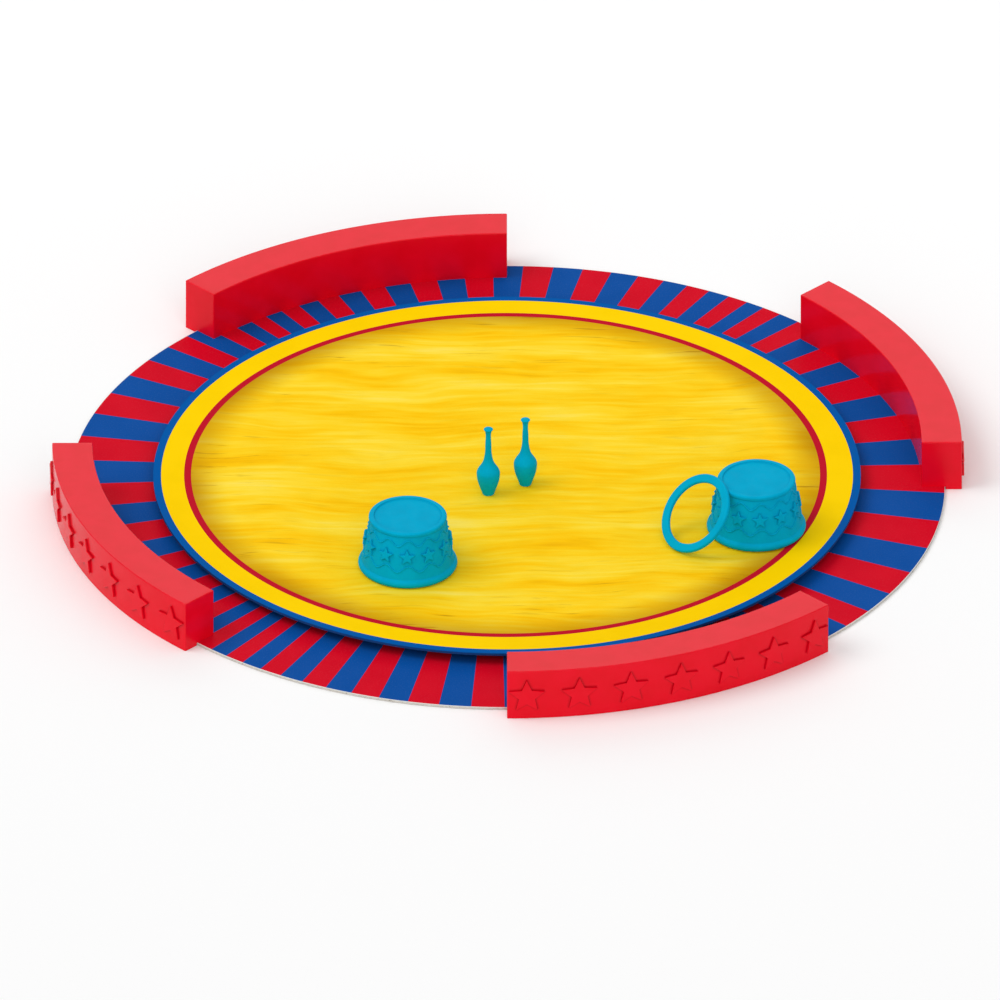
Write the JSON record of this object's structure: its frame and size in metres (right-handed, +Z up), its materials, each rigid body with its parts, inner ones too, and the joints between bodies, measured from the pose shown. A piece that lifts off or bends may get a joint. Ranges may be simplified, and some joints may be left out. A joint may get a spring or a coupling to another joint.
{
  "type": "toy circus ring",
  "caption": "Round toy circus floor with a turning stage, curved kerbs with raised stars, pedestals, juggling clubs and a juggling ring.",
  "frame": {"origin": "centre of the base board's underside, on the surface that the toy stands on", "axes": "+Z up, the stage's turning axis; +Y towards the back kerb's end, so that the kerbs start at 0, 90, 180 and 270 degrees from +X"},
  "size_m": [0.3134, 0.3134, 0.0315],
  "materials": {
    "grey_board": "matte",
    "striped_print": "varnished, red and blue stripes",
    "stage_print": "varnished, sand with red, yellow and blue rings",
    "white_plastic": "moulded",
    "red_plastic": "glossy",
    "red_underside": "moulded",
    "blue_plastic": "satin"
  },
  "bodies": {
    "base": {"base_board": "grey_board", "base_print": "striped_print", "pivot_stud": "white_plastic"},
    "stage": {"stage_wheel": "white_plastic", "stage_board": "grey_board", "stage_print": "stage_print"},
    "kerb_right": {"kerb_shell_right": "red_plastic", "kerb_plate_right": "red_underside"},
    "kerb_back": {"kerb_shell_back": "red_plastic", "kerb_plate_back": "red_underside"},
    "kerb_left": {"kerb_shell_left": "red_plastic", "kerb_plate_left": "red_underside"},
    "kerb_front": {"kerb_shell_front": "red_plastic", "kerb_plate_front": "red_underside"},
    "pedestal_left": {"pedestal_left": "blue_plastic"},
    "pedestal_right": {"pedestal_right": "blue_plastic"},
    "club_left": {"club_left": "blue_plastic"},
    "club_right": {"club_right": "blue_plastic"},
    "juggling_ring": {"juggling_ring": "blue_plastic"}
  },
  "joints": [
    {"name": "stage_turn", "type": "hinge", "parent": "base", "child": "stage", "pos_m": [0, 0, 0.001], "axis": [0, 0, 1], "continuous": true},
    {"name": "kerb_right_slide_round", "type": "hinge", "parent": "base", "child": "kerb_right", "pos_m": [0, 0, 0.001], "axis": [0, 0, 1], "range_deg": [-22, 22]},
    {"name": "kerb_back_slide_round", "type": "hinge", "parent": "base", "child": "kerb_back", "pos_m": [0, 0, 0.001], "axis": [0, 0, 1], "range_deg": [-22, 22]},
    {"name": "kerb_left_slide_round", "type": "hinge", "parent": "base", "child": "kerb_left", "pos_m": [0, 0, 0.001], "axis": [0, 0, 1], "range_deg": [-22, 22]},
    {"name": "kerb_front_slide_round", "type": "hinge", "parent": "base", "child": "kerb_front", "pos_m": [0, 0, 0.001], "axis": [0, 0, 1], "range_deg": [-22, 22]},
    {"name": "pedestal_left_lift", "type": "slide", "parent": "stage", "child": "pedestal_left", "axis": [0, 0, 1], "range_m": [0, 0.06]},
    {"name": "pedestal_right_lift", "type": "slide", "parent": "stage", "child": "pedestal_right", "axis": [0, 0, 1], "range_m": [0, 0.06]},
    {"name": "club_left_lift", "type": "slide", "parent": "stage", "child": "club_left", "axis": [0, 0, 1], "range_m": [0, 0.06]},
    {"name": "club_right_lift", "type": "slide", "parent": "stage", "child": "club_right", "axis": [0, 0, 1], "range_m": [0, 0.06]},
    {"name": "juggling_ring_lift", "type": "slide", "parent": "pedestal_right", "child": "juggling_ring", "axis": [0, 0, 1], "range_m": [0, 0.06]}
  ]
}
